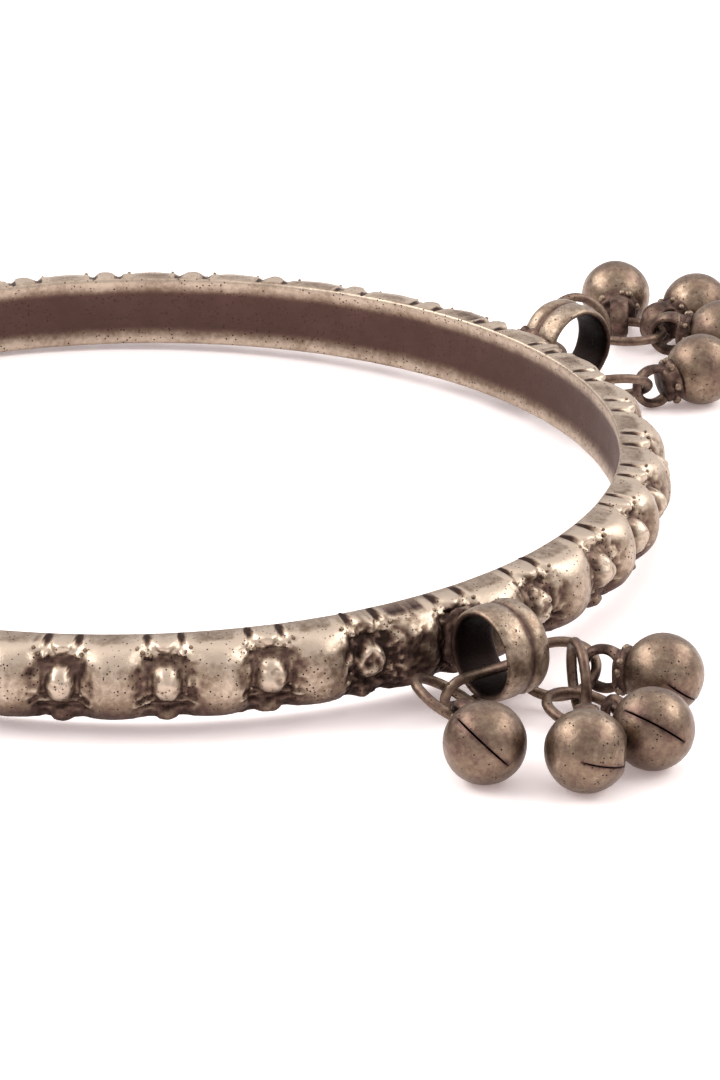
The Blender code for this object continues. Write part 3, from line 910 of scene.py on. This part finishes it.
def link_line():
    turn = math.radians(LINK_TURN_DEG)
    outwards = Vector((-math.sin(turn), 0.0, -math.cos(turn)))
    along = Vector((0.0, 1.0, 0.0))
    half = LINK_END - LINK_END_RADIUS
    centre = (TUBE_RADIUS - TUBE_WALL / 2) * outwards
    points = []
    for side in (1.0, -1.0):
        for step in range(LINK_STEPS + 1):
            angle = math.pi * (step / LINK_STEPS - 0.5)
            swing = side * (half + LINK_END_RADIUS * math.cos(angle))
            points.append(centre + swing * along + side * LINK_END_RADIUS * math.sin(angle) * outwards)
    return points


def link_mesh(cluster):
    curve = bpy.data.curves.new("link", "CURVE")
    curve.dimensions = "3D"
    curve.bevel_depth = SWOLLEN_WIRE
    curve.bevel_resolution = 4
    line = link_line()
    spline = curve.splines.new("POLY")
    spline.points.add(len(line) - 1)
    for point, place in zip(spline.points, line):
        point.co = (*place, 1.0)
    spline.use_cyclic_u = True
    mesh = baked(added("helper", curve))
    height = tube_centre(cluster).z - TABLE_HEIGHT
    mesh.transform(cluster_frame(cluster) @ Matrix.Translation((0.0, 0.0, height)))
    return mesh


for cluster in TUBE_ANGLES_DEG:
    piece("wire_link_" + cluster, link_mesh(cluster), wire_material, "ring_metal", "link_" + cluster)

# %% [markdown]
# ## The bells
#
# Each bell is a hollow ball cast round a core, with a saw cut across its mouth and a rough neck and loop at
# the other end. The ball is a grid of rows that run parallel to the cut, so the cut is simply a gap between
# two rows. Solidify gives the wall its thickness, and a small bevel rounds the lips.

# %% The ball with its cut
# Lengths of the bells and pellets are in millimetres, up to the matrix that seats them.
BELL_RADIUS = 2.48
BELL_WALL = 0.42
LARGEST_DENT_OUT = 0.02
CUT_HALF_WIDTH = 0.06
CUT_HALF_ARC_DEG = 52.0
CUT_END_SHARE = 0.15
LIP_RISE = 0.010
BALL_COLUMNS = 96
BALL_ROWS_DEG = (7.0, 11.0, 16.0, 22.0, 29.0, 36.0, 43.0, 50.0, 57.0, 64.0, 71.0, 78.0, 84.0)
BELL_WEAR = 0.66


def ball_with_cut(seed, to_bell):
    """The ball's mesh. to_bell turns the cut's frame, with Z through its middle, into the bell's frame."""
    edge = math.degrees(math.asin(CUT_HALF_WIDTH / BELL_RADIUS))
    one_side = [edge, edge + 1.5, *BALL_ROWS_DEG]
    latitudes = np.radians([-value for value in reversed(one_side)] + one_side)
    longitudes = np.radians(np.linspace(-180.0, 180.0, BALL_COLUMNS, endpoint=False))
    latitude, longitude = np.meshgrid(latitudes, longitudes, indexing="ij")
    arc = np.abs(longitude) / math.radians(CUT_HALF_ARC_DEG)
    pinch = np.where(arc < 1, np.sqrt(np.maximum(1 - arc**6, 0.0)), 0.0)
    lower = len(one_side) - 1
    for row in (lower, lower + 1):
        latitude[row] *= CUT_END_SHARE + (1 - CUT_END_SHARE) * pinch[row]
    level = np.cos(latitude)
    points = np.stack([level * np.sin(longitude), np.sin(latitude), level * np.cos(longitude)], -1)
    points = points * BELL_RADIUS
    dent = 1 + 0.010 * roughcast(points, 1.7, seed) + 0.004 * roughcast(points, 0.5, seed + 1)
    over = np.exp(-np.abs(latitude) / 0.16) * np.where(latitude > 0, 1.0, -0.4) * ramp(arc, 1.3, 0.3)
    points = points * (dent + LIP_RISE * over)[..., None]
    radius = np.linalg.norm(points, axis=-1, keepdims=True)
    points = points * np.minimum(1.0, (BELL_RADIUS + LARGEST_DENT_OUT) / radius)
    faces = grid_faces(*latitude.shape, False, True)
    row_of = faces[:, 0] // BALL_COLUMNS
    middle_of = longitudes[faces[:, 0] % BALL_COLUMNS] + math.pi / BALL_COLUMNS
    in_cut = (row_of == lower) & (np.abs(middle_of) < math.radians(CUT_HALF_ARC_DEG))
    faces = faces[~in_cut]
    poles = np.array([[0.0, -BELL_RADIUS, 0.0], [0.0, BELL_RADIUS, 0.0]])
    count = latitude.size
    all_points = np.concatenate([points.reshape(-1, 3), poles])
    last = (latitude.shape[0] - 1) * BALL_COLUMNS
    caps = []
    for column in range(BALL_COLUMNS):
        beside = (column + 1) % BALL_COLUMNS
        caps.append((count, column, beside))
        caps.append((count + 1, last + beside, last + column))
    mesh = mesh_from("ball", placed(all_points * MM, to_bell), faces.tolist() + caps)
    near_cut = np.exp(-np.abs(latitude) * BELL_RADIUS / 0.10) * (arc < 1.05)
    wear_and_shading_values = BELL_WEAR - 0.55 * near_cut + 0.10 * roughcast(points, 1.2, seed + 3)
    attach(mesh, "wear", np.concatenate([wear_and_shading_values.ravel(), [BELL_WEAR, BELL_WEAR]]))
    return mesh


# %% [markdown]
# The neck is turned like a small bobbin and roughened, the loop is a thick uneven ring, and a few cast
# beads lie round the foot of the neck. They are separate shells that run into each other, as the wax ones
# did.

# %% Neck, loop and beads
NECK_PROFILE = (
    # radius and place along the axis
    (0.0, 1.92), (1.30, 1.95), (1.50, 2.08), (1.58, 2.24), (1.52, 2.42), (1.36, 2.56), (1.30, 2.70),
    (1.38, 2.84), (1.36, 3.00), (1.18, 3.14), (0.85, 3.23), (0.40, 3.27), (0.0, 3.28),
)
NECK_WAIST = 2.60
NECK_STEPS = 40
NECK_ROUGHNESS = 0.09
LOOP_RADIUS = 1.28
LOOP_WIRE = 0.29
LOOP_CENTRE = 3.72
FITTINGS = {
    # half width of the loop, size of the neck, and how far it climbs above its waist
    ("front", 1): (0.56, 1.00, 1.0), ("front", 2): (0.78, 1.00, 1.0), ("front", 3): (0.32, 0.64, 0.2),
    ("front", 4): (0.52, 0.95, 0.6), ("back", 1): (0.52, 1.00, 1.0), ("back", 2): (0.75, 1.00, 1.0),
    ("back", 3): (0.66, 1.00, 1.0), ("back", 4): (0.75, 1.00, 1.0),
}


def turned(profile, steps, seed, roughness):
    """A profile turned about the axis and roughened."""
    radius, height = np.array(profile).T
    turn = round_steps(steps)[:, None]
    points = ring_points(radius, turn, height)
    push = roughness * roughcast(points, 0.42, seed) * (radius > 0)
    return points + ring_points(push, turn, 0.0), grid_faces(steps, len(profile), True, False)


def uneven_loop(seed, half_width):
    """A thick ring, wider at its foot where it grows out of the neck."""
    turn, around = np.meshgrid(round_steps(44), round_steps(14), indexing="ij")
    line = np.stack([LOOP_RADIUS * np.sin(turn), 0 * turn, LOOP_RADIUS * np.cos(turn) + LOOP_CENTRE], -1)
    wire = LOOP_WIRE * (1 + 0.06 * roughcast(line, 0.7, seed))
    wire = wire + 0.018 * roughcast(line + around[..., None], 0.3, seed)
    foot = np.clip(-np.cos(turn) - 0.45, 0, 1)
    wide = half_width * (1 + 1.2 * foot + 0.08 * roughcast(line, 0.5, seed + 7))
    off_line = wire * np.cos(around)
    points = line + np.stack([off_line * np.sin(turn), wide * np.sin(around), off_line * np.cos(turn)], -1)
    return points, grid_faces(*turn.shape, True, True)


def fitting_mesh(seed, place, loop_half_width, neck_size, climb):
    """Neck and loop of one bell, seated on its ball."""
    profile = [
        (radius * neck_size, min(at, NECK_WAIST + (at - NECK_WAIST) * climb)) for radius, at in NECK_PROFILE
    ]
    neck_points, neck_faces = turned(profile, NECK_STEPS, seed, NECK_ROUGHNESS * neck_size)
    loop_points, loop_faces = uneven_loop(seed + 1, loop_half_width)
    neck_wear = 0.30 + 0.35 * roughcast(neck_points, 0.4, seed + 2).ravel()
    loop_wear = 0.42 + 0.30 * roughcast(loop_points, 0.5, seed + 3).ravel()
    points = np.concatenate([neck_points.reshape(-1, 3), loop_points.reshape(-1, 3)])
    mesh = mesh_from("fitting", points, np.concatenate([neck_faces, loop_faces + neck_wear.size]))
    attach(mesh, "wear", np.concatenate([neck_wear, loop_wear]))
    mesh.transform(place @ Matrix.Scale(MM, 4))
    return mesh


def slit_frame(middle_direction, turn_deg):
    """A frame with its Z through the middle of the slit."""
    out = direction(*middle_direction)
    along = Matrix.Rotation(math.radians(turn_deg), 3, out) @ out.cross(UPRIGHT)
    return axes_matrix(Vector(), out, out.cross(along))


# %% Build the eight bells
bell_material = aged_metal("aged_bell", -0.14, -0.12, 0.14, bump_size=FINE_BUMP)
neck_material = aged_metal("aged_neck", -0.09, 0.02, 0.20)
pellet_material = aged_metal("aged_pellet", -0.25, 0.10, 0.20, attribute=False)


FILED_BELL = ("front", 2)
FILED_SIDE = Vector((1.0, -0.12, 0.0)).normalized()
FILED_DEPTH = 0.24
FILED_SHARE = 0.8
LIP_ROUNDING = 0.09 * MM


def hollow_mesh(mesh, rounded_lips):
    """The open ball with a wall inside and, where asked, rounded lips."""
    closed(mesh)
    item = added("helper", mesh)
    wall = item.modifiers.new("wall", "SOLIDIFY")
    wall.thickness = BELL_WALL * MM
    wall.offset = -1.0
    if rounded_lips:
        lips = item.modifiers.new("lips", "BEVEL")
        lips.width = LIP_ROUNDING
        lips.segments = 2
        lips.limit_method = "ANGLE"
        lips.angle_limit = math.radians(50.0)
    return baked(item)


def file_flat(mesh, centre):
    """Files one side of a ball nearly flat; this bell's right side is so in the photograph."""
    start = (BELL_RADIUS - FILED_DEPTH) * MM
    for point in mesh.vertices:
        beyond = (point.co - centre).dot(FILED_SIDE) - start
        if beyond > 0:
            point.co -= FILED_SIDE * (FILED_SHARE * beyond)


bell_seats = {}
for number, (cluster, index, place, loop_direction, slit_middle, slit_turn) in enumerate(BELLS):
    up_axis = direction(*loop_direction)
    lying = axes_matrix(Vector(place) * MM, up_axis, up_axis.cross(UPRIGHT))
    to_bell = lying.to_3x3().inverted().to_4x4() @ slit_frame(slit_middle, slit_turn)
    seat = cluster_frame(cluster) @ lying
    bell_seats[cluster, index] = seat
    ball = ball_with_cut(60 + 10 * number, to_bell)
    ball.transform(seat)
    is_filed = (cluster, index) == FILED_BELL
    if is_filed:
        file_flat(ball, seat.translation)
    node = f"bell_{cluster}_{index}"
    piece("ball_" + node, hollow_mesh(ball, not is_filed), bell_material, "bell_metal", node)
    fitting = fitting_mesh(160 + 10 * number, seat, *FITTINGS[cluster, index])
    piece("neck_" + node, fitting, neck_material, "bell_metal")

# %% [markdown]
# ## Cast beads
#
# Small granules sit round the ornaments of the band and round the necks of the bells. They repeat hundreds
# of times, so Geometry Nodes set a low ball on each of a set of points, and each point carries its own
# size.

# %% A tree that sets beads on points
def bead_tree():
    tree = Nodes("cast beads", {"Material": ("NodeSocketMaterial", None)})
    ball = tree.add("GeometryNodeMeshUVSphere", {}, {"Radius": 1.0, "Segments": 8, "Rings": 5})
    size = tree.add("GeometryNodeInputNamedAttribute", {"data_type": "FLOAT"}, {"Name": "size"})
    cloud = tree.add("GeometryNodeMeshToPoints", {}, {"Mesh": tree.given("Geometry")})
    beads = tree.add("GeometryNodeInstanceOnPoints", {}, {"Points": cloud, "Instance": ball, "Scale": size})
    return tree.end(beads)


beads_tree = bead_tree()


def beads_at(places, sizes, material):
    base = bpy.data.meshes.new("points")
    base.from_pydata([tuple(place) for place in places], [], [])
    attach(base, "size", sizes)
    return grown(beads_tree, base, {"Material": material})


NECK_BEADS = 9
NECK_BEAD_REACH = 1.42
NECK_BEAD_HEIGHT = 2.44
NECK_BEAD_RADIUS = 0.27
BEAD_SUNK_MM = 0.03
neck_places, neck_sizes = [], []
bead_chances = np.random.default_rng(11)


def stray(most):
    return most * bead_chances.uniform(-1, 1)


for (cluster, index), seat in bell_seats.items():
    for step in range(NECK_BEADS):
        angle = 2 * math.pi * (step + stray(0.3)) / NECK_BEADS
        reach = (NECK_BEAD_REACH + stray(0.05)) * FITTINGS[cluster, index][1] * MM
        height = (NECK_BEAD_HEIGHT + stray(0.05)) * MM
        neck_places.append(seat @ Vector((reach * math.cos(angle), reach * math.sin(angle), height)))
        neck_sizes.append((NECK_BEAD_RADIUS + stray(0.05)) * MM)
bead_material = aged_metal("aged_beads", 0.02, 0.0, 0.15, attribute=False)
piece("neck_beads", beads_at(neck_places, neck_sizes, bead_material), bead_material, "bell_metal")

GRANULES = (
    # place across and up, and radius, in millimetres
    (0.96, 4.28, 0.14), (1.36, 4.42, 0.13), (1.62, 4.70, 0.13), (1.30, 1.98, 0.12),
)
band_places, band_sizes = [], []
for motif in range(MOTIF_COUNT):
    for side in (-1, 1):
        for across_mm, up_mm, size in GRANULES:
            jitter = bead_chances.uniform(-1, 1, 3)
            across_here = side * (across_mm + 0.07 * jitter[0])
            up_here = up_mm + 0.07 * jitter[1]
            angle = motif_angle(motif + across_here / PITCH_MM)
            metal = relief(np.array(across_here), np.array(up_here), chance_table[motif])
            reach = INNER_RADIUS / MM + float(metal) - BEAD_SUNK_MM
            spot = Vector((reach * math.cos(angle), reach * math.sin(angle), up_here)) * MM
            band_places.append(BAND_FRAME @ spot)
            band_sizes.append(size * (1 + 0.25 * jitter[2]) * MM)
piece("band_beads", beads_at(band_places, band_sizes, bead_material), bead_material, "band_metal")
print("beads:", len(band_places) + len(neck_places))

# %% Pellets
PELLET_RADIUS = 0.75
PELLET_GAP = 0.12


def pellet_mesh(seat):
    """A plain ball at the bottom of its bell."""
    ball = ball_points(20, 13) * PELLET_RADIUS * MM
    drop = (BELL_RADIUS - BELL_WALL - PELLET_RADIUS - PELLET_GAP) * MM
    return mesh_from("pellet", ball + (seat.translation - drop * UPRIGHT), grid_faces(20, 13, True, False))


for (cluster, index), seat in bell_seats.items():
    node = f"pellet_{cluster}_{index}"
    piece("loose_" + node, pellet_mesh(seat), pellet_material, "pellet_metal", node)

# %% [markdown]
# ## Table and light
#
# The photograph is a shop picture: a white table that melts into a white background, and two tall soft
# lights high up, one on each side, which draw two bright streaks on every lobe and two spots on every bell.
# A wide, weak light from above the far side and a white world fill the shadows, and the table glows
# faintly, so that they stay as thin as in the photograph.

# %% Table
TABLE_SIZE = 6.0
TABLE_COLOUR = (0.90, 0.868, 0.865, 1.0)
GLOW_COLOUR = (1.0, 0.80, 0.78, 1.0)
GLOW_STRENGTH = 0.24

corners = np.array([[-1, -1, 0], [1, -1, 0], [1, 1, 0], [-1, 1, 0]]) * TABLE_SIZE / 2
table_mesh = mesh_from("table", corners, [(0, 1, 2, 3)])
table_shader = Shader("white_table")
table_shader.set(Base_Color=TABLE_COLOUR, Roughness=0.55)
table_shader.set(Emission_Color=GLOW_COLOUR, Emission_Strength=GLOW_STRENGTH)
table_mesh.materials.append(table_shader.material)
added("table", table_mesh)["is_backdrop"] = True

# %% Lights
LIGHTS = (
    # name, azimuth and elevation in degrees, distance and size in metres, watts, colour
    ("left_box", 172.0, 45.0, 0.60, (0.26, 0.66), 3.1, (1.0, 0.985, 0.97)),
    ("right_box", 10.0, 43.0, 0.60, (0.26, 0.66), 2.3, (1.0, 0.985, 0.97)),
    ("top_box", 90.0, 68.0, 0.80, (0.9, 0.8), 1.5, (1.0, 0.985, 0.98)),
)
WORLD_COLOUR = (1.0, 0.960, 0.952, 1.0)

for name, azimuth_deg, elevation_deg, distance_m, size_m, watts, colour in LIGHTS:
    data = bpy.data.lights.new(name, "AREA")
    data.shape = "RECTANGLE"
    data.size, data.size_y = size_m
    data.energy = watts
    data.color = colour
    away = direction(azimuth_deg, elevation_deg)
    added(name, data).matrix_world = axes_matrix(away * distance_m, away, Vector((0.0, 1.0, 0.0)))
world = bpy.data.worlds.new("studio")
world.use_nodes = True
background = world.node_tree.nodes["Background"]
background.inputs["Color"].default_value = WORLD_COLOUR
background.inputs["Strength"].default_value = 1.0
bpy.context.scene.world = world
bpy.context.scene.view_settings.view_transform = "Standard"

# %% Sizes, and the last line
sizes = {"cad": [list(corner) for corner in cad_box], "scene": [list(corner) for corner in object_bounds()]}
